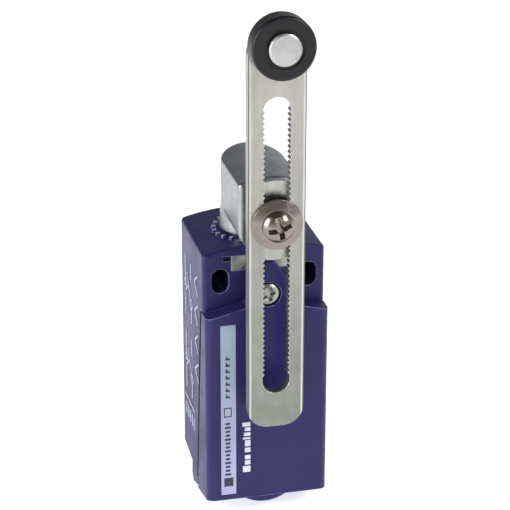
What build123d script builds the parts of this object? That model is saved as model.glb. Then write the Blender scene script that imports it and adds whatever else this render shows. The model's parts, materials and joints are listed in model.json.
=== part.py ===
from build123d import *
import math
import os

# Compact limit switch: a moulded housing with a screwed front cover, a die-cast head that turns on
# top of it, and an adjustable roller lever clamped to the head's shaft.
#
# Frame: the origin lies between the two fixing holes, on the rear mounting face. +Z is up the
# switch and the cover faces -Y. Below, a "height" is counted from the cover's lower front edge and
# a "depth" from the cover's front face; up() and back() turn them into Z and Y.

os.makedirs("parts", exist_ok=True)

# Driving dimensions, in millimetres
body_width = 30.6
cover_width = 31.0
body_depth = 32.0
body_height = 65.0
crown_rise = 2.2
hole_height = 58.2
hole_spacing = 22.0
hole_diameter = 4.3
hole_mouth_length = 6.3
hole_mouth_depth = 12.0
ear_depth = 4.6
shoulder_height = 50.0
cover_screw_height = 55.6
wall = 2.0

seam_top_depth = 5.6
seam_lean = 0.13
seam_gap = 2.0

head_axis_depth = 17.0
head_half_width = 7.8
head_front_depth = -2.1
head_bottom = 68.2
head_side_height = 85.0
head_crown_rise = 1.6
neck_radius = 7.0
neck_bottom = 58.7
running_fit = 0.05

shaft_height = 77.0
shaft_radius = 4.0
cam_seat_radius = 3.4
rear_journal_radius = 2.4
clamp_thread_radius = 2.5
hub_radius = 6.0
hub_front_depth = -4.3
hub_back_depth = -2.4

lever_back_depth = -5.7
lever_front_depth = -8.1
lever_width = 13.9
lever_bottom = 23.8
slot_width = 6.8
slot_bottom = 33.0
slot_top = 108.0
lever_arc_height = 117.6
roller_height = 121.0
roller_radius = 7.5

plunger_radius = 2.4
plunger_tip_radius = 1.7
plunger_bottom = 47.6
switching_travel = 2.0

chamber_floor = 9.0
chamber_top = 47.5
chamber_half_width = 12.6
chamber_back = 29.2

entry_radius = 7.25
entry_depth = 22.0
entry_face = 2.2

terminal_x = 8.6
lower_terminal = 14.5
upper_terminal = 42.5
lower_bridge = 25.0
upper_bridge = 34.0
strip_thickness = 0.6

half_body = body_width / 2
half_cover = cover_width / 2
half_lever = lever_width / 2
crown_radius = (half_body**2 + crown_rise**2) / (2 * crown_rise)


def up(height):
    """Z of a height above the cover's lower front edge."""
    return height - hole_height


def back(depth):
    """Y of a depth behind the cover's front face."""
    return depth - body_depth


def front_plane(depth):
    """Sketch plane that faces forward, at a depth; its own axes are X and Z."""
    return Plane.XZ.offset(-back(depth))


def level_plane(height):
    """Sketch plane that faces up, at a height; its own axes are X and Y."""
    return Plane.XY.offset(up(height))


def front_points(*pairs):
    """Points for a front view outline, from pairs of X and height."""
    return [(x, up(height)) for x, height in pairs]


def side_points(*pairs):
    """Points for a side view outline, from pairs of depth and height."""
    return [(back(depth), up(height)) for depth, height in pairs]


def seam_depth(height):
    """Depth of the leaning seam between cover and housing."""
    return seam_top_depth + (shoulder_height - height) * seam_lean


def crown_height(x):
    """Height of the housing's arched top at a distance x from its middle."""
    return body_height + crown_rise - crown_radius + math.sqrt(crown_radius**2 - x**2)


# ---------------------------------------------------------------- housing and cover

cover_bottom_lean = -0.22
lobe_end_depth = 20.0
cover_heel = cover_bottom_lean * 12.4
body_toe = cover_bottom_lean * 13.0
far_below = -8.0
far_above = 75.0
head_bore_bottom = neck_bottom - 0.2
clip_bottom = 60.8
clip_thickness = 1.7
clip_width = 16.0
clip_back_depth = 23.9
clip_tab_height = 62.6
clip_tab_rise = 3.8
screw_hole_depth = 11.6
tooth_count = 24
tooth_ring_radius = 9.7
tooth_rise = 0.55

with BuildPart() as rear_body:
    with BuildSketch(front_plane(body_depth)):
        with BuildLine():
            Polyline(*front_points(
                (half_body, body_height),
                (half_body, far_below),
                (-half_body, far_below),
                (-half_body, body_height),
            ))
            ThreePointArc(*front_points(
                (-half_body, body_height),
                (0, body_height + crown_rise),
                (half_body, body_height),
            ))
        make_face()
    extrude(amount=body_depth - ear_depth)
    # Side outline: ear face, leaning seam, the low lobe beside the cable entry, and the raised heel
    with BuildSketch(Plane.YZ):
        with BuildLine():
            Polyline(*side_points(
                (ear_depth, far_above),
                (ear_depth, shoulder_height + 0.1),
                (seam_top_depth + seam_gap, shoulder_height + 0.1),
                (seam_depth(body_toe) + seam_gap, body_toe),
                (lobe_end_depth - 0.6, cover_bottom_lean * lobe_end_depth),
                (lobe_end_depth + 1.2, -2.6),
                (lobe_end_depth + 0.6, 0.9),
                (body_depth, 2.1),
                (body_depth, far_above),
            ), close=True)
        make_face()
    extrude(amount=body_width, both=True, mode=Mode.INTERSECT)
    fillet(rear_body.edges().filter_by(Axis.Z), radius=1.2)
    fillet(rear_body.faces().sort_by(Axis.Z)[-1].edges(), radius=0.7)
    # Flat land and thread for the cable gland
    with BuildSketch(level_plane(far_below)):
        with Locations((0, back(entry_depth))):
            Rectangle(2 * entry_radius + 4.6, body_depth)
    extrude(amount=entry_face - far_below, mode=Mode.SUBTRACT)
    with BuildSketch(level_plane(entry_face)):
        with Locations((0, back(entry_depth))):
            Circle(entry_radius)
    extrude(amount=chamber_floor - entry_face, mode=Mode.SUBTRACT)
    # Contact chamber, open to the front
    with BuildSketch(front_plane(chamber_back)):
        with Locations((0, up((chamber_floor + chamber_top) / 2))):
            RectangleRounded(2 * chamber_half_width, chamber_top - chamber_floor, 1.5)
    extrude(amount=chamber_back, mode=Mode.SUBTRACT)
    # Bores for the head's neck and its plunger
    with BuildSketch(level_plane(head_bore_bottom)):
        with Locations((0, back(head_axis_depth))):
            Circle(neck_radius + running_fit)
    extrude(amount=far_above - head_bore_bottom, mode=Mode.SUBTRACT)
    with BuildSketch(level_plane(chamber_top - 1)):
        with Locations((0, back(head_axis_depth))):
            Circle(plunger_radius + 0.6)
    extrude(amount=head_bore_bottom - chamber_top + 1, mode=Mode.SUBTRACT)
    # Slot and front pocket for the clip that holds the head
    with BuildSketch(front_plane(clip_back_depth + 0.3)):
        with Locations((0, up(clip_bottom + clip_thickness / 2))):
            Rectangle(clip_width + 0.4, clip_thickness + 0.1)
    extrude(amount=clip_back_depth + 0.3 - ear_depth, mode=Mode.SUBTRACT)
    with BuildSketch(front_plane(ear_depth + 1.3)):
        with Locations((0, up(clip_tab_height))):
            Rectangle(clip_width + 0.6, clip_tab_rise + 0.2)
        with Locations((0, up(clip_tab_height + 1.3))):
            Rectangle(clip_width + 4.4, 1.3)
    extrude(amount=1.3, mode=Mode.SUBTRACT)
    # Fixing holes: round bores with slot-shaped mouths
    with BuildSketch(front_plane(body_depth)):
        with GridLocations(hole_spacing, 0, 2, 1):
            Circle(hole_diameter / 2)
    extrude(amount=body_depth - ear_depth, mode=Mode.SUBTRACT)
    with BuildSketch(front_plane(ear_depth + hole_mouth_depth)):
        with GridLocations(hole_spacing, 0, 2, 1):
            SlotOverall(hole_mouth_length, hole_diameter, rotation=90)
    extrude(amount=hole_mouth_depth, mode=Mode.SUBTRACT)
    # Blind hole for the cover screw
    with BuildSketch(front_plane(screw_hole_depth)):
        with Locations((0, up(cover_screw_height))):
            Circle(1.55)
    extrude(amount=screw_hole_depth - ear_depth, mode=Mode.SUBTRACT)
    # Index teeth around the head, one every 15 degrees
    for tooth in range(tooth_count):
        angle = 360 / tooth_count * tooth
        tooth_x = tooth_ring_radius * math.cos(math.radians(angle))
        tooth_y = tooth_ring_radius * math.sin(math.radians(angle))
        tooth_foot = crown_height(tooth_x) - 1
        with BuildSketch(level_plane(tooth_foot)):
            with Locations((tooth_x, back(head_axis_depth) + tooth_y)):
                Rectangle(1.4, 1.1, rotation=angle)
        extrude(amount=1 + tooth_rise, taper=8)

rear_body.part.label = "rear_body"
export_step(rear_body.part, "parts/rear_body.step")

tongue_depth = 4.5
tongue_half_width = 4.7

with BuildPart() as front_cover:
    with BuildSketch(Plane.YZ):
        with BuildLine():
            Polyline(*side_points(
                (0, far_above),
                (0, 0),
                (seam_depth(cover_heel), cover_heel),
                (seam_top_depth, shoulder_height),
                (tongue_depth, shoulder_height),
                (tongue_depth, far_above),
            ), close=True)
        make_face()
    extrude(amount=half_cover, both=True)
    # Front outline: shoulders that rise to the tongue, which ends in a blunt point
    with BuildSketch(front_plane(body_depth)):
        with BuildLine():
            Polyline(*front_points(
                (-half_cover, far_below),
                (-half_cover, shoulder_height),
                (-tongue_half_width - 0.6, shoulder_height + 2.6),
                (-tongue_half_width, shoulder_height + 3.6),
                (-tongue_half_width, 59.6),
                (-1.4, 64.2),
                (1.4, 64.2),
                (tongue_half_width, 59.6),
                (tongue_half_width, shoulder_height + 3.6),
                (tongue_half_width + 0.6, shoulder_height + 2.6),
                (half_cover, shoulder_height),
                (half_cover, far_below),
            ), close=True)
        make_face()
    extrude(amount=body_depth + 1, mode=Mode.INTERSECT)
    upright_edges = front_cover.edges().filter_by(Axis.Z).group_by(Axis.Y)[0].sort_by(Axis.X)
    fillet([upright_edges[0], upright_edges[-1]], radius=2.2)
    face_edges = front_cover.faces().sort_by(Axis.Y)[0].edges()
    fillet(face_edges.filter_by(lambda edge: edge.center().Z > up(shoulder_height + 2.5)), radius=0.45)
    # Rounded lip below the front edge, in front of the cable entry
    with BuildSketch(front_plane(8)):
        with BuildLine():
            ThreePointArc(*front_points((-7, 0.6), (-0.5, -1.9), (6, 0.6)))
            Line(*front_points((6, 0.6), (-7, 0.6)))
        make_face()
    extrude(amount=7.4)
    # Hollow inside, and the hole for the screw through the tongue
    with BuildSketch(front_plane(20)):
        with Locations((0, up((2.4 + 47.6) / 2))):
            RectangleRounded(cover_width - 2.2 * wall, 45.2, 1.2)
    extrude(amount=20 - wall, mode=Mode.SUBTRACT)
    with BuildSketch(front_plane(tongue_depth)):
        with Locations((0, up(cover_screw_height))):
            Circle(1.7)
    extrude(amount=tongue_depth, mode=Mode.SUBTRACT)
    with BuildSketch(front_plane(1.4)):
        with Locations((0, up(cover_screw_height))):
            Circle(3.2)
    extrude(amount=1.4, mode=Mode.SUBTRACT)

front_cover.part.label = "front_cover"
export_step(front_cover.part, "parts/front_cover.step")

with BuildPart() as cover_gasket:
    with BuildSketch(Plane.YZ):
        with BuildLine():
            Polyline(*side_points(
                (seam_depth(0), 0),
                (seam_depth(0) + seam_gap, 0),
                (seam_depth(49.2) + seam_gap, 49.2),
                (seam_depth(49.2), 49.2),
            ), close=True)
        make_face()
    extrude(amount=half_cover - 0.1, both=True)
    with BuildSketch(front_plane(20)):
        with Locations((0, up(25))):
            Rectangle(cover_width - 2.2 * wall, 43.6)
    extrude(amount=20, mode=Mode.SUBTRACT)

cover_gasket.part.label = "cover_gasket"
export_step(cover_gasket.part, "parts/cover_gasket.step")


def cross_recess(depth_of_face, height, span, width, deep, angle):
    """Cross-shaped screw recess, cut backwards from a depth and turned by an angle."""
    with BuildPart(mode=Mode.PRIVATE) as recess:
        with BuildSketch(front_plane(depth_of_face + deep)):
            with Locations((0, up(height))):
                Rectangle(span, width, rotation=angle)
                Rectangle(width, span, rotation=angle)
        extrude(amount=deep + 2)
    return recess.part


screw_head_radius = 2.7
screw_shank_radius = 1.5
screw_front_depth = -0.7


with BuildPart() as cover_screw:
    with BuildSketch(Plane.YZ):
        with BuildLine():
            Polyline(*side_points(
                (0.2, cover_screw_height + screw_head_radius),
                (1.4, cover_screw_height + screw_head_radius),
                (1.4, cover_screw_height + screw_shank_radius),
                (screw_hole_depth - 0.2, cover_screw_height + screw_shank_radius),
                (screw_hole_depth - 0.2, cover_screw_height),
                (screw_front_depth, cover_screw_height),
            ))
            ThreePointArc(*side_points(
                (screw_front_depth, cover_screw_height),
                (screw_front_depth + 0.25, cover_screw_height + 1.5),
                (0.2, cover_screw_height + screw_head_radius),
            ))
        make_face()
    revolve(axis=Axis((0, 0, up(cover_screw_height)), (0, 1, 0)))
    add(cross_recess(screw_front_depth, cover_screw_height, 3.4, 0.9, 1.5, 20), mode=Mode.SUBTRACT)

cover_screw.part.label = "cover_screw"
export_step(cover_screw.part, "parts/cover_screw.step")

with BuildPart() as head_lock_clip:
    with BuildSketch(level_plane(clip_bottom)):
        with Locations((0, back((clip_back_depth + ear_depth + 0.7) / 2))):
            Rectangle(clip_width, clip_back_depth - ear_depth - 0.7)
        with Locations((0, back(head_axis_depth))):
            Circle(5.7, mode=Mode.SUBTRACT)
        with Locations((0, back(head_axis_depth + 5))):
            Rectangle(11.4, 10, mode=Mode.SUBTRACT)
    extrude(amount=clip_thickness)
    with BuildSketch(front_plane(ear_depth + 1.2)):
        with Locations((0, up(clip_tab_height))):
            Rectangle(clip_width + 0.4, clip_tab_rise)
    extrude(amount=1.2)

head_lock_clip.part.label = "head_lock_clip"
export_step(head_lock_clip.part, "parts/head_lock_clip.step")

label_x = -10.1
label_width = 3.8
label_height = 46.8
label_thickness = 0.12

with BuildPart() as name_label:
    with BuildSketch(front_plane(0)):
        with Locations((label_x, up(shoulder_height / 2))):
            Rectangle(label_width, label_height)
    extrude(amount=label_thickness)

name_label.part.label = "name_label"
export_step(name_label.part, "parts/name_label.step")

# ---------------------------------------------------------------- contact block

block_front = 15.0
block_half_width = 12.2
carrier_half_width = 3.4
carrier_back = 18.9
strip_front = 16.1
strip_back = 17.9
tab_inner_x = 5.0
leg_outer_x = 11.0
plate_size = 4.6

with BuildPart() as contact_block_base:
    with BuildSketch(front_plane(29.1)):
        with Locations((0, up(28.25))):
            Rectangle(2 * block_half_width, 37.5)
    extrude(amount=29.1 - block_front)
    # Guide slot of the carrier, the two contact windows and the side channels
    with BuildSketch(front_plane(carrier_back + 0.3)):
        with Locations((0, up(30))):
            Rectangle(2 * carrier_half_width + 0.4, 38)
        for window_height in (lower_bridge, upper_bridge):
            with Locations((0, up(window_height + 0.25))):
                Rectangle(23.2, 6.5)
        with Locations((-10.6, up(28.5)), (10.6, up(28.5))):
            Rectangle(2.0, 33)
    extrude(amount=carrier_back + 0.3 - block_front, mode=Mode.SUBTRACT)
    # Seats and threads of the four terminals
    with BuildSketch(front_plane(block_front + strip_thickness)):
        with Locations((0, up((lower_terminal + upper_terminal) / 2))):
            with GridLocations(2 * 8.9, upper_terminal - lower_terminal, 2, 2):
                Rectangle(5.4, plate_size + 0.4)
    extrude(amount=strip_thickness, mode=Mode.SUBTRACT)
    with BuildSketch(front_plane(22.5)):
        with Locations((0, up((lower_terminal + upper_terminal) / 2))):
            with GridLocations(2 * terminal_x, upper_terminal - lower_terminal, 2, 2):
                Circle(1.55)
    extrude(amount=22.5 - block_front, mode=Mode.SUBTRACT)

contact_block_base.part.label = "contact_block_base"
export_step(contact_block_base.part, "parts/contact_block_base.step")

with BuildPart() as contact_block_cover:
    with BuildSketch(front_plane(block_front)):
        with Locations((0, up(28.25))):
            Rectangle(11.2, 36.5)
            Rectangle(23.2, 20)
    extrude(amount=1.4)
    fillet(contact_block_cover.edges().filter_by(Axis.Y), radius=0.6)

contact_block_cover.part.label = "contact_block_cover"
export_step(contact_block_cover.part, "parts/contact_block_cover.step")


def fixed_contact(side, tab_bottom, terminal_height):
    """Bent strip from a contact window to its terminal; side is -1 or 1."""
    leg_x = side * (leg_outer_x - strip_thickness / 2)
    low = min(tab_bottom, terminal_height - plate_size / 2)
    high = max(tab_bottom + strip_thickness, terminal_height + plate_size / 2)
    with BuildPart(mode=Mode.PRIVATE) as strip:
        with BuildSketch(front_plane(strip_back)):
            with Locations((side * (tab_inner_x + leg_outer_x) / 2, up(tab_bottom + strip_thickness / 2))):
                Rectangle(leg_outer_x - tab_inner_x, strip_thickness)
            with Locations((leg_x, up((low + high) / 2))):
                Rectangle(strip_thickness, high - low)
        extrude(amount=strip_back - strip_front)
        with BuildSketch(front_plane(strip_front)):
            with Locations((leg_x, up(terminal_height))):
                Rectangle(strip_thickness, plate_size)
        extrude(amount=strip_front - block_front)
        with BuildSketch(front_plane(block_front + strip_thickness)):
            with Locations((side * 8.75, up(terminal_height))):
                Rectangle(4.5, plate_size)
            with Locations((side * terminal_x, up(terminal_height))):
                Circle(1.7, mode=Mode.SUBTRACT)
        extrude(amount=strip_thickness)
    return strip.part


upper_tab_bottom = upper_bridge + 0.4
lower_tab_bottom = lower_bridge - 0.4 - switching_travel - strip_thickness
with BuildPart() as fixed_contacts:
    for contact_side in (-1, 1):
        add(fixed_contact(contact_side, upper_tab_bottom, upper_terminal))
        add(fixed_contact(contact_side, lower_tab_bottom, lower_terminal))

fixed_contacts.part.label = "fixed_contacts"
export_step(fixed_contacts.part, "parts/fixed_contacts.step")

with BuildPart() as terminal_clamps:
    with BuildSketch(front_plane(block_front)):
        with Locations((0, up((lower_terminal + upper_terminal) / 2))):
            with GridLocations(2 * terminal_x, upper_terminal - lower_terminal, 2, 2):
                Rectangle(5.0, 5.0)
                Circle(1.6, mode=Mode.SUBTRACT)
    extrude(amount=0.8)

terminal_clamps.part.label = "terminal_clamps"
export_step(terminal_clamps.part, "parts/terminal_clamps.step")

with BuildPart() as terminal_screws:
    with BuildSketch(front_plane(22)):
        with Locations((0, up((lower_terminal + upper_terminal) / 2))):
            with GridLocations(2 * terminal_x, upper_terminal - lower_terminal, 2, 2):
                Circle(1.5)
    extrude(amount=22 - 14.2)
    with BuildSketch(front_plane(14.2)):
        with Locations((0, up((lower_terminal + upper_terminal) / 2))):
            with GridLocations(2 * terminal_x, upper_terminal - lower_terminal, 2, 2):
                Circle(2.4)
    extrude(amount=1.8)
    with BuildSketch(front_plane(13.2)):
        with Locations((0, up((lower_terminal + upper_terminal) / 2))):
            with GridLocations(2 * terminal_x, upper_terminal - lower_terminal, 2, 2):
                Rectangle(5.0, 0.8)
    extrude(amount=1.0, mode=Mode.SUBTRACT)

terminal_screws.part.label = "terminal_screws"
export_step(terminal_screws.part, "parts/terminal_screws.step")

carrier_bottom = 16.0
with BuildPart() as contact_carrier:
    with BuildSketch(front_plane(carrier_back)):
        with Locations((0, up((carrier_bottom + plunger_bottom - 0.1) / 2))):
            Rectangle(2 * carrier_half_width, plunger_bottom - 0.1 - carrier_bottom)
    extrude(amount=carrier_back - block_front - 0.1)
    with BuildSketch(front_plane(strip_back)):
        for bridge_height in (lower_bridge, upper_bridge):
            with Locations((0, up(bridge_height + 0.4))):
                Rectangle(10, 1.4)
    extrude(amount=strip_back - strip_front, mode=Mode.SUBTRACT)

contact_carrier.part.label = "contact_carrier"
export_step(contact_carrier.part, "parts/contact_carrier.step")

with BuildPart() as bridge_contacts:
    with BuildSketch(front_plane(strip_back)):
        for bridge_height in (lower_bridge, upper_bridge):
            with Locations((0, up(bridge_height))):
                Rectangle(14.8, strip_thickness)
    extrude(amount=strip_back - strip_front)

bridge_contacts.part.label = "bridge_contacts"
export_step(bridge_contacts.part, "parts/bridge_contacts.step")


def coil_spring(radius, wire_diameter, length, turns):
    """Round-wire spring that stands on the XY plane, around Z."""
    rise = length - wire_diameter
    with BuildPart(mode=Mode.PRIVATE) as spring:
        with BuildLine(mode=Mode.PRIVATE) as path:
            Helix(pitch=rise / turns, height=rise, radius=radius)
        with BuildSketch(Plane(origin=path.line @ 0, z_dir=path.line % 0)):
            Circle(wire_diameter / 2)
        sweep(path=path.line, is_frenet=True)
    return spring.part.moved(Location((0, 0, wire_diameter / 2)))


with BuildPart() as carrier_spring:
    with Locations((0, back(head_axis_depth), up(11))):
        add(coil_spring(1.3, 0.4, carrier_bottom - 11, 5))

carrier_spring.part.label = "carrier_spring"
export_step(carrier_spring.part, "parts/carrier_spring.step")

# ---------------------------------------------------------------- head

skirt_radius = 8.3
head_corner_radius = 5.5
foot_rise = 7.8
foot_taper = 4.6
head_cavity_radius = 5.8
head_cavity_front = 3.2
head_cavity_back = 19.5
plug_radius = 6.2
plug_top = 69.5
spring_pocket_radius = 3.9
spring_pocket_bottom = 63.5
seal_radius = 5.8
seal_back = -1.0
bush_radius = 5.2
rear_bush_radius = 3.6

with BuildPart() as head_casing:
    with BuildSketch(front_plane(head_axis_depth + head_half_width)):
        with BuildLine():
            Polyline(*front_points(
                (head_half_width, head_side_height),
                (head_half_width, head_bottom),
                (-head_half_width, head_bottom),
                (-head_half_width, head_side_height),
            ))
            ThreePointArc(*front_points(
                (-head_half_width, head_side_height),
                (0, head_side_height + head_crown_rise),
                (head_half_width, head_side_height),
            ))
        make_face()
    extrude(amount=head_axis_depth + head_half_width - head_front_depth)
    # Plan outline: flat sides and a half-round back
    with BuildSketch(level_plane(head_bottom)):
        with Locations((0, back((head_axis_depth + head_front_depth) / 2))):
            Rectangle(2 * head_half_width, head_axis_depth - head_front_depth)
        with Locations((0, back(head_axis_depth))):
            Circle(head_half_width)
    extrude(amount=25, mode=Mode.INTERSECT)
    fillet(head_casing.edges().filter_by(Axis.Z).group_by(Axis.Y)[0], radius=1.0)
    fillet(head_casing.faces().sort_by(Axis.Z)[-1].edges(), radius=0.8)
    # Rounded underside of the part that reaches over the cover
    with BuildSketch(front_plane(head_axis_depth)):
        for corner_side in (-1, 1):
            corner_x = corner_side * (head_half_width - head_corner_radius / 2)
            arc_x = corner_side * (head_half_width - head_corner_radius)
            with Locations((corner_x, up(head_bottom + head_corner_radius / 2))):
                Rectangle(head_corner_radius, head_corner_radius)
            with Locations((arc_x, up(head_bottom + head_corner_radius))):
                Circle(head_corner_radius, mode=Mode.SUBTRACT)
    extrude(amount=head_axis_depth - head_front_depth + 1, mode=Mode.SUBTRACT)
    # Flared foot around the turning axis
    with BuildSketch(level_plane(head_bottom)):
        with Locations((0, back(head_axis_depth))):
            Circle(skirt_radius)
    extrude(amount=foot_rise, taper=foot_taper)
    # Bore for the shaft's parts, and the round chamber below it for the plunger
    with BuildSketch(front_plane(head_cavity_back)):
        with Locations((0, up(shaft_height))):
            Circle(head_cavity_radius)
    extrude(amount=head_cavity_back - head_cavity_front, mode=Mode.SUBTRACT)
    with BuildSketch(level_plane(head_bottom)):
        with Locations((0, back(head_axis_depth))):
            Circle(plug_radius)
        with Locations((0, back(head_cavity_back + plug_radius))):
            Rectangle(2 * plug_radius, 2 * plug_radius, mode=Mode.SUBTRACT)
        with Locations((0, back(head_axis_depth))):
            Circle(spring_pocket_radius)
    extrude(amount=shaft_height - head_cavity_radius + 1 - head_bottom, mode=Mode.SUBTRACT)
    # Seats of the seal and of the two bushes
    with BuildSketch(front_plane(seal_back)):
        with Locations((0, up(shaft_height))):
            Circle(seal_radius)
    extrude(amount=seal_back - head_front_depth, mode=Mode.SUBTRACT)
    with BuildSketch(front_plane(head_cavity_front)):
        with Locations((0, up(shaft_height))):
            Circle(bush_radius)
    extrude(amount=head_cavity_front - seal_back, mode=Mode.SUBTRACT)
    with BuildSketch(front_plane(22.5)):
        with Locations((0, up(shaft_height))):
            Circle(rear_bush_radius)
    extrude(amount=22.5 - head_cavity_back, mode=Mode.SUBTRACT)

head_casing.part.label = "head_casing"
export_step(head_casing.part, "parts/head_casing.step")

o_ring_height = 66.0
with BuildPart() as head_base:
    # Neck, clip groove, seal groove and skirt, turned about the head's axis
    with BuildSketch(Plane.YZ):
        with BuildLine():
            Polyline(*side_points(
                (head_axis_depth + plunger_radius + running_fit, neck_bottom),
                (head_axis_depth + neck_radius, neck_bottom),
                (head_axis_depth + neck_radius, clip_bottom - 0.1),
                (head_axis_depth + 5.6, clip_bottom - 0.1),
                (head_axis_depth + 5.6, clip_bottom + clip_thickness + 0.1),
                (head_axis_depth + neck_radius, clip_bottom + clip_thickness + 0.1),
                (head_axis_depth + neck_radius, o_ring_height - 0.6),
                (head_axis_depth + 5.9, o_ring_height - 0.6),
                (head_axis_depth + 5.9, o_ring_height + 0.6),
                (head_axis_depth + neck_radius, o_ring_height + 0.6),
                (head_axis_depth + neck_radius, 67.6),
                (head_axis_depth + skirt_radius, 67.6),
                (head_axis_depth + skirt_radius, head_bottom),
                (head_axis_depth + spring_pocket_radius, head_bottom),
                (head_axis_depth + spring_pocket_radius, spring_pocket_bottom),
                (head_axis_depth + plunger_radius + running_fit, spring_pocket_bottom),
            ), close=True)
        make_face()
    revolve(axis=Axis((0, back(head_axis_depth), 0), (0, 0, 1)))
    # Plug that closes the casing from below
    with BuildSketch(level_plane(head_bottom)):
        with Locations((0, back(head_axis_depth))):
            Circle(plug_radius - running_fit)
        with Locations((0, back(head_cavity_back + plug_radius - running_fit))):
            Rectangle(2 * plug_radius, 2 * plug_radius, mode=Mode.SUBTRACT)
        with Locations((0, back(head_axis_depth))):
            Circle(spring_pocket_radius, mode=Mode.SUBTRACT)
    extrude(amount=plug_top - head_bottom)

head_base.part.label = "head_base"
export_step(head_base.part, "parts/head_base.step")

with BuildPart() as neck_seal_ring:
    with BuildSketch(Plane.YZ):
        with Locations((back(head_axis_depth + 6.48), up(o_ring_height))):
            Circle(0.5)
    revolve(axis=Axis((0, back(head_axis_depth), 0), (0, 0, 1)))

neck_seal_ring.part.label = "neck_seal_ring"
export_step(neck_seal_ring.part, "parts/neck_seal_ring.step")


def sleeve(outer_radius, inner_radius, front_depth, back_depth):
    """Plain tube around the shaft's axis."""
    with BuildPart(mode=Mode.PRIVATE) as tube:
        with BuildSketch(front_plane(back_depth)):
            with Locations((0, up(shaft_height))):
                Circle(outer_radius)
                Circle(inner_radius, mode=Mode.SUBTRACT)
        extrude(amount=back_depth - front_depth)
    return tube.part


with BuildPart() as shaft_seal:
    add(sleeve(seal_radius, shaft_radius + running_fit, head_front_depth, seal_back))

shaft_seal.part.label = "shaft_seal"
export_step(shaft_seal.part, "parts/shaft_seal.step")

with BuildPart() as front_bush:
    add(sleeve(bush_radius, shaft_radius + running_fit, seal_back, head_cavity_front))

front_bush.part.label = "front_bush"
export_step(front_bush.part, "parts/front_bush.step")

with BuildPart() as rear_bush:
    add(sleeve(rear_bush_radius, rear_journal_radius + running_fit, head_cavity_back, 22.5))

rear_bush.part.label = "rear_bush"
export_step(rear_bush.part, "parts/rear_bush.step")

plunger_head_bottom = 70.0
plunger_tip_top = 53.0
with BuildPart() as head_plunger:
    with BuildSketch(level_plane(plunger_bottom)):
        with Locations((0, back(head_axis_depth))):
            Circle(plunger_tip_radius)
    extrude(amount=plunger_tip_top - plunger_bottom)
    with BuildSketch(level_plane(plunger_tip_top)):
        with Locations((0, back(head_axis_depth))):
            Circle(plunger_radius)
    extrude(amount=plunger_head_bottom - plunger_tip_top)
    with BuildSketch(level_plane(plunger_head_bottom)):
        with Locations((0, back(head_axis_depth))):
            Circle(3.6)
    extrude(amount=1.4)
    fillet(head_plunger.edges().group_by(Axis.Z)[-1], radius=0.5)
    fillet(head_plunger.edges().group_by(Axis.Z)[0], radius=0.6)

head_plunger.part.label = "head_plunger"
export_step(head_plunger.part, "parts/head_plunger.step")

with BuildPart() as plunger_spring:
    with Locations((0, back(head_axis_depth), up(spring_pocket_bottom))):
        add(coil_spring(3.15, 0.5, plunger_head_bottom - spring_pocket_bottom, 5))

plunger_spring.part.label = "plunger_spring"
export_step(plunger_spring.part, "parts/plunger_spring.step")

# ---------------------------------------------------------------- shaft

cam_front = 13.4
cam_back = 17.9
pin_depth = (cam_front + cam_back) / 2
pin_radius = 0.8

with BuildPart() as lever_shaft:
    with BuildSketch(Plane.YZ):
        with BuildLine():
            Polyline(*side_points(
                (hub_front_depth, shaft_height + clamp_thread_radius + running_fit),
                (hub_front_depth, shaft_height + cam_seat_radius),
                (hub_back_depth, shaft_height + cam_seat_radius),
                (hub_back_depth, shaft_height + shaft_radius),
                (3.25, shaft_height + shaft_radius),
                (3.25, shaft_height + 3.6),
                (3.95, shaft_height + 3.6),
                (3.95, shaft_height + shaft_radius),
                (12.2, shaft_height + shaft_radius),
                (12.2, shaft_height + cam_seat_radius),
                (19.3, shaft_height + cam_seat_radius),
                (19.3, shaft_height + rear_journal_radius),
                (22.3, shaft_height + rear_journal_radius),
                (22.3, shaft_height),
                (9.0, shaft_height),
                (9.0, shaft_height + clamp_thread_radius + running_fit),
            ), close=True)
        make_face()
    revolve(axis=Axis((0, 0, up(shaft_height)), (0, 1, 0)))
    with BuildSketch(Plane.YZ):
        with Locations((back(pin_depth), up(shaft_height))):
            Circle(pin_radius)
    extrude(amount=10, both=True, mode=Mode.SUBTRACT)

lever_shaft.part.label = "lever_shaft"
export_step(lever_shaft.part, "parts/lever_shaft.step")

with BuildPart() as cam:
    add(sleeve(5.3, cam_seat_radius, cam_front, cam_back))
    # Flat that rests over the plunger; its two corners push it when the shaft turns
    with BuildSketch(front_plane(cam_back)):
        with Locations((0, up(shaft_height - 4.5 - 1))):
            Rectangle(12, 2)
    extrude(amount=cam_back - cam_front, mode=Mode.SUBTRACT)
    with BuildSketch(Plane.YZ):
        with Locations((back(pin_depth), up(shaft_height))):
            Circle(pin_radius)
    extrude(amount=10, both=True, mode=Mode.SUBTRACT)

cam.part.label = "cam"
export_step(cam.part, "parts/cam.step")

with BuildPart() as cam_pin:
    with BuildSketch(Plane.YZ):
        with Locations((back(pin_depth), up(shaft_height))):
            Circle(pin_radius)
    extrude(amount=5.1, both=True)

cam_pin.part.label = "cam_pin"
export_step(cam_pin.part, "parts/cam_pin.step")

with BuildPart() as shaft_circlip:
    add(sleeve(5.4, 3.6, 3.3, 3.9))
    with BuildSketch(front_plane(3.9)):
        with Locations((0, up(shaft_height + 5))):
            Rectangle(2.4, 5)
    extrude(amount=0.6, mode=Mode.SUBTRACT)

shaft_circlip.part.label = "shaft_circlip"
export_step(shaft_circlip.part, "parts/shaft_circlip.step")

with BuildPart() as return_spring:
    with Locations(Location((0, back(11.9), up(shaft_height)), (90, 0, 0))):
        add(coil_spring(4.65, 0.8, 7.6, 5))

return_spring.part.label = "return_spring"
export_step(return_spring.part, "parts/return_spring.step")

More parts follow.
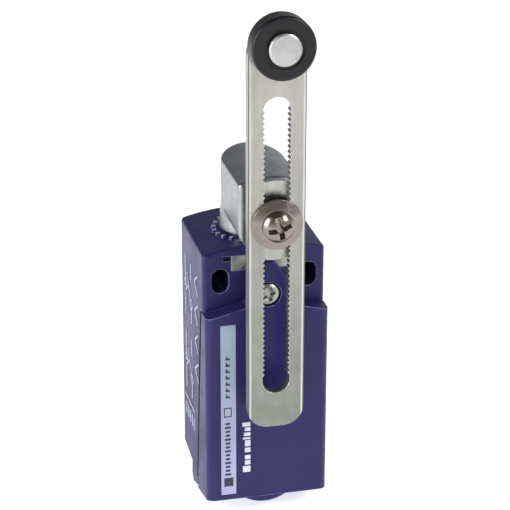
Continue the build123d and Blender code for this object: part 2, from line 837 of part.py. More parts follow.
notch_count = 24
with BuildPart() as lever_hub:
    add(sleeve(hub_radius, cam_seat_radius, hub_front_depth, hub_back_depth))
    with BuildSketch(front_plane(hub_front_depth + 0.6)):
        with Locations((0, up(shaft_height))):
            with PolarLocations(hub_radius, notch_count):
                Circle(0.4)
    extrude(amount=0.6, mode=Mode.SUBTRACT)

lever_hub.part.label = "lever_hub"
export_step(lever_hub.part, "parts/lever_hub.step")

# ---------------------------------------------------------------- clamp, lever and roller

key_plate_radius = 10.0
key_plate_width = 11.6
key_half_length = 3.0
key_half_width = 2.7
with BuildPart() as slot_key_plate:
    add(sleeve(key_plate_radius, clamp_thread_radius + 0.1, lever_back_depth, hub_front_depth - 0.1))
    with BuildSketch(front_plane(hub_front_depth)):
        with Locations((0, up(shaft_height))):
            Rectangle(key_plate_width, 2 * key_plate_radius)
    extrude(amount=2, mode=Mode.INTERSECT)
    # Key that slides in the lever's slot and sets its direction
    with BuildSketch(front_plane(lever_back_depth)):
        with Locations((0, up(shaft_height))):
            Rectangle(2 * key_half_width, 2 * key_half_length)
            Circle(clamp_thread_radius + 0.1, mode=Mode.SUBTRACT)
    extrude(amount=1.6)

slot_key_plate.part.label = "slot_key_plate"
export_step(slot_key_plate.part, "parts/slot_key_plate.step")

screw_washer_front = -9.6
screw_washer_radius = 6.2
with BuildPart() as lever_screw_washer:
    with BuildSketch(Plane.YZ):
        with BuildLine():
            Polyline(*side_points(
                (lever_front_depth, shaft_height + clamp_thread_radius + 0.1),
                (lever_front_depth, shaft_height + screw_washer_radius),
                (lever_front_depth - 0.5, shaft_height + screw_washer_radius),
                (screw_washer_front + 0.1, shaft_height + 4.3),
                (screw_washer_front, shaft_height + 4.0),
                (screw_washer_front, shaft_height + clamp_thread_radius + 0.1),
            ), close=True)
        make_face()
    revolve(axis=Axis((0, 0, up(shaft_height)), (0, 1, 0)))

lever_screw_washer.part.label = "lever_screw_washer"
export_step(lever_screw_washer.part, "parts/lever_screw_washer.step")

screw_dome_front = -12.2
screw_dome_radius = 3.8
screw_end_depth = 6.0
with BuildPart() as lever_screw:
    with BuildSketch(Plane.YZ):
        with BuildLine():
            Polyline(*side_points(
                (-10.3, shaft_height + screw_dome_radius),
                (screw_washer_front, shaft_height + screw_dome_radius),
                (screw_washer_front, shaft_height + clamp_thread_radius),
                (screw_end_depth, shaft_height + clamp_thread_radius),
                (screw_end_depth, shaft_height),
                (screw_dome_front, shaft_height),
            ))
            ThreePointArc(*side_points(
                (screw_dome_front, shaft_height),
                (screw_dome_front + 0.5, shaft_height + 2.2),
                (-10.3, shaft_height + screw_dome_radius),
            ))
        make_face()
    revolve(axis=Axis((0, 0, up(shaft_height)), (0, 1, 0)))
    add(cross_recess(screw_dome_front, shaft_height, 5.6, 1.3, 3.0, 14), mode=Mode.SUBTRACT)

lever_screw.part.label = "lever_screw"
export_step(lever_screw.part, "parts/lever_screw.step")

tooth_pitch = 1.3
tooth_height = 0.5
serration_bottom = slot_bottom + 4.5
serration_count = 52
end_radius = 5.0
end_bulge = end_radius * (1 - math.sqrt(0.5))
end_flat = half_lever - end_radius
rivet_radius = 2.0
with BuildPart() as lever_plate:
    with BuildSketch(front_plane(lever_back_depth)):
        with BuildLine():
            Line(*front_points((-half_lever, lever_arc_height), (-half_lever, lever_bottom + end_radius)))
            ThreePointArc(*front_points(
                (-half_lever, lever_bottom + end_radius),
                (-half_lever + end_bulge, lever_bottom + end_bulge),
                (-end_flat, lever_bottom),
            ))
            Line(*front_points((-end_flat, lever_bottom), (end_flat, lever_bottom)))
            ThreePointArc(*front_points(
                (end_flat, lever_bottom),
                (half_lever - end_bulge, lever_bottom + end_bulge),
                (half_lever, lever_bottom + end_radius),
            ))
            Line(*front_points((half_lever, lever_bottom + end_radius), (half_lever, lever_arc_height)))
            ThreePointArc(*front_points(
                (half_lever, lever_arc_height),
                (0, lever_arc_height + half_lever),
                (-half_lever, lever_arc_height),
            ))
        make_face()
        with Locations((0, up(roller_height))):
            Circle(rivet_radius, mode=Mode.SUBTRACT)
        with Locations((0, up((slot_bottom + slot_top) / 2))):
            SlotOverall(slot_top - slot_bottom, slot_width, rotation=90, mode=Mode.SUBTRACT)
        # Fine teeth along both walls of the slot
        for step in range(serration_count):
            tooth_foot = serration_bottom + step * tooth_pitch
            for tooth_side in (-1, 1):
                wall_x = tooth_side * slot_width / 2
                with BuildLine():
                    Polyline(*front_points(
                        (wall_x, tooth_foot),
                        (wall_x - tooth_side * tooth_height, tooth_foot + tooth_pitch / 2),
                        (wall_x, tooth_foot + tooth_pitch * 0.92),
                        (wall_x + tooth_side * 0.2, tooth_foot + tooth_pitch / 2),
                    ), close=True)
                make_face()
    extrude(amount=lever_back_depth - lever_front_depth)
    fillet(lever_plate.faces().sort_by(Axis.Y)[0].outer_wire().edges(), radius=0.35)

lever_plate.part.label = "lever_plate"
export_step(lever_plate.part, "parts/lever_plate.step")

roller_back = -9.1
roller_front = -14.6
pin_front = -15.6
pin_cap_radius = 3.8
axle_radius = 2.5
with BuildPart() as roller_pin:
    with BuildSketch(Plane.YZ):
        with BuildLine():
            Polyline(*side_points(
                (lever_back_depth, roller_height),
                (lever_back_depth, roller_height + rivet_radius),
                (lever_front_depth, roller_height + rivet_radius),
                (lever_front_depth, roller_height + axle_radius),
                (roller_front - 0.1, roller_height + axle_radius),
                (roller_front - 0.1, roller_height + pin_cap_radius),
                (pin_front + 0.3, roller_height + pin_cap_radius),
                (pin_front, roller_height + pin_cap_radius - 0.4),
                (pin_front, roller_height),
            ), close=True)
        make_face()
    revolve(axis=Axis((0, 0, up(roller_height)), (0, 1, 0)))

roller_pin.part.label = "roller_pin"
export_step(roller_pin.part, "parts/roller_pin.step")

with BuildPart() as roller_washer:
    with BuildSketch(front_plane(lever_front_depth)):
        with Locations((0, up(roller_height))):
            Circle(4.2)
            Circle(axle_radius, mode=Mode.SUBTRACT)
    extrude(amount=0.8)

roller_washer.part.label = "roller_washer"
export_step(roller_washer.part, "parts/roller_washer.step")

with BuildPart() as roller:
    with BuildSketch(front_plane(roller_back)):
        with Locations((0, up(roller_height))):
            Circle(roller_radius)
            Circle(axle_radius + running_fit, mode=Mode.SUBTRACT)
    extrude(amount=roller_back - roller_front)
    rim_edges = roller.edges().filter_by(GeomType.CIRCLE).sort_by(SortBy.RADIUS)[-2:]
    fillet(rim_edges, radius=0.8)
    # Shallow step around the bore, under the pin's cap
    with BuildSketch(front_plane(roller_front + 0.4)):
        with Locations((0, up(roller_height))):
            Circle(4.8)
            Circle(axle_radius + 0.8, mode=Mode.SUBTRACT)
    extrude(amount=1, mode=Mode.SUBTRACT)

roller.part.label = "roller"
export_step(roller.part, "parts/roller.step")
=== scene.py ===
import json
import math

import bmesh
import bpy
from mathutils import Matrix, Vector


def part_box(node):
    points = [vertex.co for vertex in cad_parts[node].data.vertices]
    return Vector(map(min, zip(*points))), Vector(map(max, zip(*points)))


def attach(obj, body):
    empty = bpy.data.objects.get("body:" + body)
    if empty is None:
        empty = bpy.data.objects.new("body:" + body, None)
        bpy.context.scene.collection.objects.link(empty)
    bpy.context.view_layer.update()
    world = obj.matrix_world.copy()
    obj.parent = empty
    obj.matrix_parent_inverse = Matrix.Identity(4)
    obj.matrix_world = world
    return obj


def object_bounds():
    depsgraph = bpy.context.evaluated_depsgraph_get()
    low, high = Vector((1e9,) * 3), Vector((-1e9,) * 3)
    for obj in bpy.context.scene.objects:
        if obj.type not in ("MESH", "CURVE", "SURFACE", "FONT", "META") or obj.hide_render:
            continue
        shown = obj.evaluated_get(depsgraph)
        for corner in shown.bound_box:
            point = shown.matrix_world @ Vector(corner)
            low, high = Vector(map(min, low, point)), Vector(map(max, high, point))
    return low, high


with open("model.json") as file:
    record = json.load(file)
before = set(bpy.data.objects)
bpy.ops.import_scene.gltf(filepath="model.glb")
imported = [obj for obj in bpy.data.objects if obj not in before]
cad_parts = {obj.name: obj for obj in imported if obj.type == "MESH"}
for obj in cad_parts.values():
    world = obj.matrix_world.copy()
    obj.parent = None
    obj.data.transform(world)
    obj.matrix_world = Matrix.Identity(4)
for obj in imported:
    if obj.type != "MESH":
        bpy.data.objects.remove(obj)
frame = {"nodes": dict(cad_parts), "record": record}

# Looks of the limit switch, built around its CAD frame.
# Lengths are in metres, except where a name or a comment says millimetres.

cad_low, cad_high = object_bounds()
nodes = frame["nodes"]
MM = 0.001


# ---------------------------------------------------------------- node helpers

class Shader:
    """A material's node tree, with short calls for the nodes used here."""

    def __init__(self, name):
        self.material = bpy.data.materials.new(name)
        self.material.use_nodes = True
        self.tree = self.material.node_tree
        self.tree.nodes.clear()
        self.output = self.add("ShaderNodeOutputMaterial")
        self.surface = self.add("ShaderNodeBsdfPrincipled")
        self.link(self.surface.outputs["BSDF"], self.output.inputs["Surface"])
        self.place = self.add("ShaderNodeTexCoord").outputs["Object"]

    def add(self, kind, **settings):
        node = self.tree.nodes.new(kind)
        for key, value in settings.items():
            setattr(node, key, value)
        return node

    def link(self, start, end):
        self.tree.links.new(start, end)

    def feed(self, socket, value):
        """Links a socket, or sets its value."""
        if isinstance(value, bpy.types.NodeSocket):
            self.link(value, socket)
        else:
            socket.default_value = value

    def math(self, operation, first, second=0.0):
        node = self.add("ShaderNodeMath", operation=operation)
        self.feed(node.inputs[0], first)
        self.feed(node.inputs[1], second)
        return node.outputs[0]

    def stretch(self, scale):
        """The object's coordinates, scaled per axis."""
        node = self.add("ShaderNodeMapping")
        self.link(self.place, node.inputs["Vector"])
        node.inputs["Scale"].default_value = scale
        return node.outputs["Vector"]

    def noise(self, scale, detail=3.0, rough=0.55, vector=None):
        node = self.add("ShaderNodeTexNoise")
        self.link(vector or self.place, node.inputs["Vector"])
        node.inputs["Scale"].default_value = scale
        node.inputs["Detail"].default_value = detail
        node.inputs["Roughness"].default_value = rough
        return node.outputs["Fac"]

    def ramp(self, value, start, end, low=0.0, high=1.0):
        """Maps start..end to low..high, smoothly and clamped."""
        node = self.add("ShaderNodeMapRange", interpolation_type="SMOOTHSTEP")
        self.link(value, node.inputs["Value"])
        node.inputs["From Min"].default_value = start
        node.inputs["From Max"].default_value = end
        node.inputs["To Min"].default_value = low
        node.inputs["To Max"].default_value = high
        return node.outputs["Result"]

    def mix(self, factor, first, second):
        """Blends two colours, given as sockets or as red, green and blue."""
        node = self.add("ShaderNodeMix", data_type="RGBA")
        self.feed(node.inputs["Factor"], factor)
        for key, color in (("A", first), ("B", second)):
            self.feed(node.inputs[key], (*color, 1.0) if isinstance(color, tuple) else color)
        return node.outputs["Result"]

    def rounded_normal(self, radius):
        node = self.add("ShaderNodeBevel", samples=6)
        node.inputs["Radius"].default_value = radius
        return node.outputs["Normal"]

    def edge_mask(self, radius):
        """1 along sharp edges, 0 on flat faces."""
        rounded = self.rounded_normal(radius)
        flat = self.add("ShaderNodeNewGeometry").outputs["Normal"]
        dot = self.add("ShaderNodeVectorMath", operation="DOT_PRODUCT")
        self.link(rounded, dot.inputs[0])
        self.link(flat, dot.inputs[1])
        return self.ramp(dot.outputs["Value"], 0.995, 0.85)

    def bump(self, height, strength, distance, normal=None):
        node = self.add("ShaderNodeBump")
        self.link(height, node.inputs["Height"])
        node.inputs["Strength"].default_value = strength
        node.inputs["Distance"].default_value = distance
        if normal is not None:
            self.link(normal, node.inputs["Normal"])
        return node.outputs["Normal"]

    def set(self, socket, value):
        self.feed(self.surface.inputs[socket], value)

    def height_share(self, low, high):
        """The split coordinates, and a value that is 0 at the foot of a box and 1 at its top."""
        split = self.add("ShaderNodeSeparateXYZ")
        self.link(self.place, split.inputs["Vector"])
        return split, self.ramp(split.outputs["Z"], low.z, high.z)


def mottling(shader):
    """Slow clouds of a plated surface, 0 to 1."""
    return shader.ramp(shader.noise(140.0, 5.0, 0.6), 0.3, 0.7)


def add_scratches(shader, smooth, rough, edge, vector=None):
    """Fine scratches: they vary the roughness and lift the surface, with rounded edges."""
    lines = shader.noise(900.0, 3.0, 0.65, vector)
    shader.set("Roughness", shader.ramp(lines, 0.3, 0.7, smooth, rough))
    shader.set("Normal", shader.bump(lines, 0.25, 0.00002, shader.rounded_normal(edge)))


def moulded_plastic(name, color, lighter_tone, rough=0.42, grain=0.00004, edge=0.00018, shine=0.5):
    """Fine-grained moulded plastic with lighter edges in patches: partly wear, partly a painted
    highlight.
    """
    shader = Shader(name)
    patches = shader.ramp(shader.noise(260.0), 0.25, 0.50)
    # Lighter edge patches: partly wear, partly a painted highlight along the edges.
    edge_wear_and_highlight = shader.math("MULTIPLY", shader.edge_mask(edge), patches)
    clouds = shader.ramp(shader.noise(60.0, 4.0), 0.35, 0.7)
    darker = tuple(channel * 0.86 for channel in color)
    base = shader.mix(clouds, darker, color)
    shader.set("Base Color", shader.mix(edge_wear_and_highlight, base, lighter_tone))
    fine = shader.noise(5200.0, 2.0, 0.6)
    smudge = shader.ramp(shader.noise(95.0, 5.0, 0.6), 0.3, 0.75, rough - 0.05, rough + 0.07)
    shader.set("Roughness", smudge)
    shader.set("Normal", shader.bump(fine, 0.35, grain, shader.rounded_normal(edge)))
    shader.set("Specular IOR Level", shine)
    return shader.material


def plated_metal(name, color, dull, rough=0.32):
    """Plated or turned metal: fine scratches, cloudy plating and bright edges, partly wear and partly a
    painted highlight.
    """
    edge = 0.00015
    shader = Shader(name)
    shader.set("Metallic", 1.0)
    base = shader.mix(mottling(shader), dull, color)
    # Lighter colour along the edges: partly wear, partly a painted highlight.
    lighter_tone = tuple(min(1.0, channel * 1.35) for channel in color)
    shader.set("Base Color", shader.mix(shader.edge_mask(edge), base, lighter_tone))
    add_scratches(shader, rough - 0.07, rough + 0.09, edge)
    return shader.material


def stamped_lever():
    """Zinc-plated strip: warmer towards the roller, with a painted highlight along its long edges and a
    thin painted shade line at the outer edge.
    """
    shader = Shader("lever_steel")
    low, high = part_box("lever_plate")
    middle_x = (low.x + high.x) / 2
    half_width = (high.x - low.x) / 2
    split, climb = shader.height_share(low, high)
    outward = shader.math("ABSOLUTE", shader.math("SUBTRACT", split.outputs["X"], middle_x))

    def edge_band(inner_start, inner_full, outer_full, outer_gone):
        """1 in a band along the long edges, given as distances from them in millimetres."""
        rise = shader.ramp(outward, half_width - inner_start * MM, half_width - inner_full * MM)
        fall = shader.ramp(outward, half_width - outer_gone * MM, half_width - outer_full * MM)
        return shader.math("MULTIPLY", rise, fall)

    clouds = mottling(shader)
    cool = shader.mix(clouds, (0.225, 0.24, 0.205), (0.265, 0.28, 0.24))
    warm = shader.mix(clouds, (0.41, 0.39, 0.36), (0.47, 0.45, 0.415))
    base = shader.mix(climb, cool, warm)
    # Painted highlight: a pale band along the long edges.
    base = shader.mix(edge_band(0.9, 0.6, 0.42, 0.30), base, (0.60, 0.60, 0.58))
    # Painted shade: a thin dark line at the very edge.
    base = shader.mix(edge_band(0.36, 0.24, 0.08, 0.02), base, (0.13, 0.13, 0.125))
    # Painted highlight on the serrated edges beside the slot.
    near_slot = shader.ramp(outward, 4.1 * MM, 3.6 * MM)
    teeth_highlight = shader.math("MULTIPLY", near_slot, shader.edge_mask(0.00022))
    shader.set("Base Color", shader.mix(teeth_highlight, base, (0.80, 0.80, 0.83)))
    shader.set("Metallic", 0.85)
    add_scratches(shader, 0.34, 0.50, 0.0002, shader.stretch((1.0, 1.0, 0.10)))
    return shader.material


def seal_rubber():
    """Matt black rubber."""
    shader = Shader("seal_rubber")
    speckle = shader.ramp(shader.noise(700.0, 4.0), 0.4, 0.7)
    shader.set("Base Color", shader.mix(speckle, (0.004, 0.004, 0.005), (0.010, 0.010, 0.012)))
    shader.set("Roughness", shader.ramp(shader.noise(300.0), 0.3, 0.7, 0.75, 0.95))
    shader.set("Specular IOR Level", 0.06)
    shader.set("Normal", shader.bump(shader.noise(3000.0), 0.3, 0.00005))
    return shader.material


def printed_film():
    """Silvery label film that turns from lavender at the foot to pale blue at the top."""
    shader = Shader("label_film")
    low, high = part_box("name_label")
    _, climb = shader.height_share(low, high)
    tone = shader.mix(climb, (0.38, 0.38, 0.60), (0.28, 0.37, 0.47))
    haze = shader.ramp(shader.noise(150.0, 4.0), 0.3, 0.7, 0.0, 0.25)
    shader.set("Base Color", shader.mix(haze, tone, (0.45, 0.49, 0.58)))
    shader.set("Metallic", 0.25)
    shader.set("Roughness", shader.ramp(shader.noise(400.0), 0.3, 0.7, 0.28, 0.4))
    shader.set("Normal", shader.bump(shader.noise(2500.0, 2.0), 0.12, 0.00002))
    return shader.material


def ink(name, color):
    """Printing ink, slightly uneven."""
    shader = Shader(name)
    lighter_tone = tuple(min(1.0, channel * 1.25 + 0.01) for channel in color)
    speckle = shader.ramp(shader.noise(1200.0, 4.0), 0.4, 0.7)
    shader.set("Base Color", shader.mix(speckle, color, lighter_tone))
    shader.set("Roughness", shader.ramp(shader.noise(500.0), 0.3, 0.7, 0.38, 0.5))
    shader.set("Normal", shader.bump(shader.noise(4000.0), 0.15, 0.00002))
    return shader.material


blue = moulded_plastic(
    "housing_plastic", (0.022, 0.019, 0.106), (0.36, 0.35, 0.58), edge=0.0003, shine=0.25)
block = moulded_plastic("block_plastic", (0.62, 0.60, 0.54), (0.7, 0.69, 0.64))
carrier_red = moulded_plastic("carrier_plastic", (0.33, 0.045, 0.035), (0.45, 0.1, 0.08))
black = moulded_plastic(
    "roller_plastic", (0.006, 0.006, 0.008), (0.045, 0.045, 0.05),
    rough=0.40, grain=0.00003, shine=0.35)
lever_steel = stamped_lever()
head_zinc = plated_metal("head_zinc", (0.37, 0.385, 0.39), (0.285, 0.30, 0.305), 0.36)
nickel = plated_metal("nickel", (0.30, 0.255, 0.228), (0.24, 0.20, 0.18), 0.20)
zinc_plate = plated_metal("zinc_plate", (0.44, 0.45, 0.41), (0.36, 0.37, 0.335), 0.33)
pin_steel = plated_metal("pin_steel", (0.50, 0.51, 0.50), (0.415, 0.42, 0.415), 0.38)
shaft_steel = plated_metal("shaft_steel", (0.50, 0.50, 0.50), (0.40, 0.40, 0.40), 0.25)
spring_steel = plated_metal("spring_steel", (0.46, 0.46, 0.46), (0.36, 0.36, 0.36), 0.25)
brass = plated_metal("contact_brass", (0.70, 0.52, 0.24), (0.58, 0.42, 0.19), 0.28)
rubber = seal_rubber()
film = printed_film()
dark_ink = ink("dark_ink", (0.018, 0.018, 0.05))
white_ink = ink("white_ink", (0.62, 0.62, 0.70))
# Pale plastic for the raised side diagrams; on the index teeth it is a painted highlight.
pale_relief_and_tooth_highlight = moulded_plastic("pale_relief_and_highlight_plastic", (0.46, 0.47, 0.62), (0.65, 0.66, 0.80), shine=0.4)

finishes = {
    "housing_plastic": blue, "block_plastic": block,
    "carrier_plastic": carrier_red, "roller_plastic": black,
    "lever_steel": lever_steel, "head_zinc": head_zinc, "nickel": nickel, "zinc_plate": zinc_plate,
    "pin_steel": pin_steel, "shaft_steel": shaft_steel, "spring_steel": spring_steel,
    "contact_brass": brass, "seal_rubber": rubber, "label_film": film,
}

for part in frame["record"]["subparts"]:
    piece = nodes[part["node"]]
    piece.data.materials.clear()
    piece.data.materials.append(finishes[part["material_slot"]])


# ---------------------------------------------------------------- mesh helpers

def mesh_object(name, mesh, material, body):
    data = bpy.data.meshes.new(name)
    mesh.to_mesh(data)
    mesh.free()
    piece = bpy.data.objects.new(name, data)
    bpy.context.scene.collection.objects.link(piece)
    piece.data.materials.append(material)
    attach(piece, body)
    return piece


def add_box(mesh, low, high):
    """Adds a box between two corners."""
    size = [high[axis] - low[axis] for axis in range(3)]
    centre = [(high[axis] + low[axis]) / 2 for axis in range(3)]
    placed = Matrix.Translation(centre) @ Matrix.Diagonal((*size, 1.0))
    bmesh.ops.create_cube(mesh, size=1.0, matrix=placed)


# ---------------------------------------------------------------- label print

label_low, label_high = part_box("name_label")
print_rise = 0.00003
label_width = label_high.x - label_low.x
label_length = label_high.z - label_low.z


def label_bar(mesh, across, along, width, length):
    """Adds a printed bar; its centre and size are shares of the label's width and length."""
    x = label_low.x + across * label_width
    z = label_low.z + along * label_length
    half_x = width * label_width / 2
    half_z = length * label_length / 2
    low = (x - half_x, label_low.y - print_rise, z - half_z)
    high = (x + half_x, label_low.y, z + half_z)
    add_box(mesh, low, high)


def make_label_print():
    """Plain bars and frames where a label would be printed; nothing on it can be read."""
    column = 0.45
    mesh = bmesh.new()
    label_bar(mesh, 0.5, 0.075, 0.62, 0.052)  # square at the foot
    for step in range(14):  # short bars, every third one wider
        label_bar(mesh, column, 0.122 + step * 0.0235, 0.30 + 0.10 * (step % 3 == 0), 0.0125)
    for step in range(2):  # frame: its lower and upper lines, then its sides
        label_bar(mesh, column, 0.47 + step * 0.05, 0.5, 0.006)
    for across in (0.22, 0.68):
        label_bar(mesh, across, 0.495, 0.06, 0.052)
    for step in range(7):  # hooked bars
        label_bar(mesh, column, 0.585 + step * 0.037, 0.28, 0.012)
        label_bar(mesh, 0.38, 0.597 + step * 0.037, 0.08, 0.012)
    return mesh_object("label_print", mesh, dark_ink, "housing")


make_label_print()


cover_print_right = -4.5 * MM
cover_print_start = 5.8
block_stretch = 1.3


def make_cover_print():
    """Short row of plain white blocks printed on the cover, beside the label."""
    mesh = bmesh.new()
    face_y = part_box("front_cover")[0].y
    # place along the row, length and width of each block, in millimetres
    blocks = ((0.0, 1.7, 1.5), (2.1, 1.2, 1.1), (3.6, 1.2, 1.1), (5.6, 1.3, 1.1), (7.3, 1.7, 1.1),
              (9.3, 0.5, 1.5), (10.2, 1.0, 1.3), (11.6, 1.0, 1.1), (12.9, 1.1, 1.6))
    for along, length, width in blocks:
        low_z = label_low.z + (cover_print_start + along) * MM
        left_x = cover_print_right - block_stretch * width * MM
        low = (left_x, face_y - print_rise, low_z)
        high = (cover_print_right, face_y, low_z + length * MM)
        add_box(mesh, low, high)
    return mesh_object("cover_print", mesh, white_ink, "housing")


make_cover_print()


# ---------------------------------------------------------------- painted highlights on the index teeth

tooth_count = 24
tooth_ring_radius = 9.7 * MM
tooth_top_rise = 0.55 * MM
crown_radius = 54.3 * MM
turning_axis_y = -15.0 * MM
crown_top = 9.0 * MM
tooth_plate = (1.0 * MM, 0.72 * MM, 0.10 * MM)


def make_tooth_highlights():
    """Thin pale plates on top of the index teeth around the head, as painted highlights on the dark blue
    teeth.
    """
    mesh = bmesh.new()
    size = Matrix.Diagonal((*tooth_plate, 1.0))
    for tooth in range(tooth_count):
        angle = 2 * math.pi * tooth / tooth_count
        x = tooth_ring_radius * math.cos(angle)
        y = turning_axis_y + tooth_ring_radius * math.sin(angle)
        z = crown_top - crown_radius + math.sqrt(crown_radius**2 - x**2) + tooth_top_rise
        placed = Matrix.Translation((x, y, z)) @ Matrix.Rotation(angle, 4, "Z")
        bmesh.ops.create_cube(mesh, size=1.0, matrix=placed @ size)
    return mesh_object("index_tooth_highlights", mesh, pale_relief_and_tooth_highlight, "housing")


make_tooth_highlights()


# ---------------------------------------------------------------- raised diagrams on the housing's sides

body_low, body_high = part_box("rear_body")
relief_rise = 0.00016
relief_sink = 0.0001
rib_width = 0.45
tick_width = 0.7
lead_depth = -13.0
blade_depth = -6.0


def relief_line(mesh, side, start, end, width=rib_width):
    """Raised rib on a side face; its ends are depth and height in millimetres."""
    face_x = body_low.x if side < 0 else body_high.x
    first = Vector((0.0, start[0] * MM, start[1] * MM))
    last = Vector((0.0, end[0] * MM, end[1] * MM))
    run = last - first
    middle = (first + last) / 2
    middle.x = face_x + side * (relief_rise - relief_sink) / 2
    turn = Matrix.Rotation(math.atan2(run.z, run.y), 4, "X")
    size = Matrix.Diagonal((relief_rise + relief_sink, run.length + width * MM, width * MM, 1.0))
    bmesh.ops.create_cube(mesh, size=1.0, matrix=Matrix.Translation(middle) @ turn @ size)


def relief_ring(mesh, side, centre, radius, steps=28):
    """Raised ring on a side face; its centre is depth and height in millimetres."""
    face_x = body_low.x if side < 0 else body_high.x
    loops = []
    section = ((-0.5, -relief_sink), (-0.5, relief_rise), (0.5, relief_rise), (0.5, -relief_sink))
    for across, x in section:
        reach = radius + across * rib_width
        loops.append([
            mesh.verts.new((
                face_x + side * x,
                (centre[0] + reach * math.cos(2 * math.pi * step / steps)) * MM,
                (centre[1] + reach * math.sin(2 * math.pi * step / steps)) * MM,
            ))
            for step in range(steps)
        ])
    made = []
    for first, second in zip(loops, loops[1:] + loops[:1]):
        for step in range(steps):
            after = (step + 1) % steps
            made.append(mesh.faces.new((first[step], first[after], second[after], second[step])))
    bmesh.ops.recalc_face_normals(mesh, faces=made)


def make_side_diagram(name, side):
    """Generic contact diagram moulded on a side: leads, rings, open blades and a row of ticks."""
    mesh = bmesh.new()
    for foot in (-38.0, -17.0):
        relief_line(mesh, side, (lead_depth, foot), (lead_depth, foot + 4))
        relief_ring(mesh, side, (lead_depth, foot + 5.2), 1.2)
        relief_line(mesh, side, (-12.2, foot + 6.2), (-8.0, foot + 11.5))
        relief_line(mesh, side, (lead_depth, foot + 12.0), (lead_depth, foot + 16.0))
        relief_line(mesh, side, (blade_depth, foot), (blade_depth, foot + 6))
        relief_line(mesh, side, (blade_depth, foot + 6), (-8.6, foot + 8.5))
        relief_line(mesh, side, (blade_depth, foot + 10), (blade_depth, foot + 16))
        relief_ring(mesh, side, (blade_depth, foot + 8.6), 0.9)
    for step in range(5):
        depth = -15.5 + step * 2.6
        relief_line(mesh, side, (depth, -46.0), (depth, -43.2), tick_width)
    relief_line(mesh, side, (-16.0, -41.0), (-4.0, -41.0))
    for step in range(4):
        rise = step * 8
        relief_line(mesh, side, (-21.0, -30.0 + rise), (-17.5, -27.5 + rise))
        relief_line(mesh, side, (-17.5, -27.5 + rise), (-21.0, -25.0 + rise))
    return mesh_object(name, mesh, pale_relief_and_tooth_highlight, "housing")


make_side_diagram("left_diagram", -1)
make_side_diagram("right_diagram", 1)


# ---------------------------------------------------------------- camera, floor and light

camera_place = Vector((-0.09502, -0.42086, 0.17256))
camera_yaw = math.radians(13.263)
camera_pitch = math.radians(22.376)
camera_roll = math.radians(0.04)
focal_length = 127.19
sensor_width = 36.0
floor_half_size = 3.0
floor_gap = 0.0002
floor_glow = 0.68
light_target = (0.0, -0.02, 0.0)


def make_camera():
    """Camera with a long lens, turned by its yaw, pitch and roll."""
    data = bpy.data.cameras.new("camera")
    data.sensor_width = sensor_width
    data.lens = focal_length
    data.clip_start = 0.01
    data.clip_end = 20.0
    camera = bpy.data.objects.new("camera", data)
    bpy.context.scene.collection.objects.link(camera)
    forward = Vector((
        math.sin(camera_yaw) * math.cos(camera_pitch),
        math.cos(camera_yaw) * math.cos(camera_pitch),
        -math.sin(camera_pitch),
    ))
    level = Vector((math.cos(camera_yaw), -math.sin(camera_yaw), 0.0))
    upright = level.cross(forward)
    right = level * math.cos(camera_roll) + upright * math.sin(camera_roll)
    up = upright * math.cos(camera_roll) - level * math.sin(camera_roll)
    turn = Matrix((right, up, -forward)).transposed().to_4x4()
    camera.matrix_world = Matrix.Translation(camera_place) @ turn
    bpy.context.scene.camera = camera


def make_floor():
    """Large white floor just under the switch, with an even glow of its own."""
    mesh = bmesh.new()
    bmesh.ops.create_grid(mesh, x_segments=24, y_segments=24, size=floor_half_size)
    data = bpy.data.meshes.new("floor")
    mesh.to_mesh(data)
    mesh.free()
    floor = bpy.data.objects.new("floor", data)
    bpy.context.scene.collection.objects.link(floor)
    floor.location = (0.0, 0.0, cad_low.z - floor_gap)
    shader = Shader("floor_paper")
    paper = shader.mix(shader.noise(3.0), (0.90, 0.90, 0.90), (0.93, 0.93, 0.93))
    shader.set("Base Color", paper)
    shader.set("Roughness", 0.9)
    shader.set("Emission Color", (1.0, 1.0, 1.0, 1.0))
    shader.set("Emission Strength", floor_glow)
    floor.data.materials.append(shader.material)


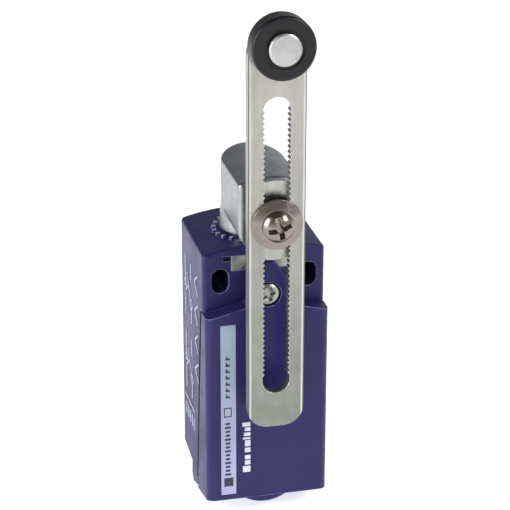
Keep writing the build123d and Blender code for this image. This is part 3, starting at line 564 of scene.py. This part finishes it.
def make_world():
    """Surroundings that are white below and dark overhead, and darkest at the back left."""
    world = bpy.data.worlds.new("studio")
    bpy.context.scene.world = world
    world.use_nodes = True
    tree = world.node_tree
    tree.nodes.clear()
    output = tree.nodes.new("ShaderNodeOutputWorld")
    sky = tree.nodes.new("ShaderNodeBackground")
    coordinates = tree.nodes.new("ShaderNodeTexCoord")
    split = tree.nodes.new("ShaderNodeSeparateXYZ")
    climb = tree.nodes.new("ShaderNodeValToRGB")
    stops = climb.color_ramp.elements
    stops[0].position = 0.0
    stops[0].color = (0.90, 0.91, 0.93, 1.0)
    stops[1].position = 0.9
    stops[1].color = (0.10, 0.10, 0.12, 1.0)
    stops.new(0.25).color = (0.46, 0.47, 0.50, 1.0)
    sideways = tree.nodes.new("ShaderNodeMapRange")
    behind = tree.nodes.new("ShaderNodeMapRange")
    ranges = (
        (sideways, (("From Min", -0.55), ("From Max", 0.25), ("To Min", 0.22), ("To Max", 1.0))),
        (behind, (("From Min", 0.0), ("From Max", 0.4))),
    )
    for node, values in ranges:
        for key, value in values:
            node.inputs[key].default_value = value
    darken = tree.nodes.new("ShaderNodeMix")
    darken.data_type = "FLOAT"
    darken.inputs["A"].default_value = 1.0
    links = (
        (coordinates.outputs["Generated"], split.inputs["Vector"]),
        (split.outputs["Z"], climb.inputs["Fac"]),
        (split.outputs["X"], sideways.inputs["Value"]),
        (split.outputs["Y"], behind.inputs["Value"]),
        (behind.outputs["Result"], darken.inputs["Factor"]),
        (sideways.outputs["Result"], darken.inputs["B"]),
        (climb.outputs["Color"], sky.inputs["Color"]),
        (darken.outputs["Result"], sky.inputs["Strength"]),
        (sky.outputs["Background"], output.inputs["Surface"]),
    )
    for start, end in links:
        tree.links.new(start, end)


def soft_light(name, place, width, height, power):
    """Rectangular light turned to the switch, with its power in watts."""
    data = bpy.data.lights.new(name, "AREA")
    data.shape = "RECTANGLE"
    data.size = width
    data.size_y = height
    data.energy = power
    light = bpy.data.objects.new(name, data)
    bpy.context.scene.collection.objects.link(light)
    light.location = place
    aim = Vector(light_target) - Vector(place)
    light.rotation_euler = aim.to_track_quat("-Z", "Y").to_euler()


make_camera()
make_floor()
make_world()
soft_light("key_left", (-0.90, -0.22, 0.32), 0.5, 0.6, 8.0)
soft_light("fill_right", (0.75, -0.55, 0.65), 0.35, 0.4, 6.0)

bpy.context.scene.view_settings.view_transform = "Standard"
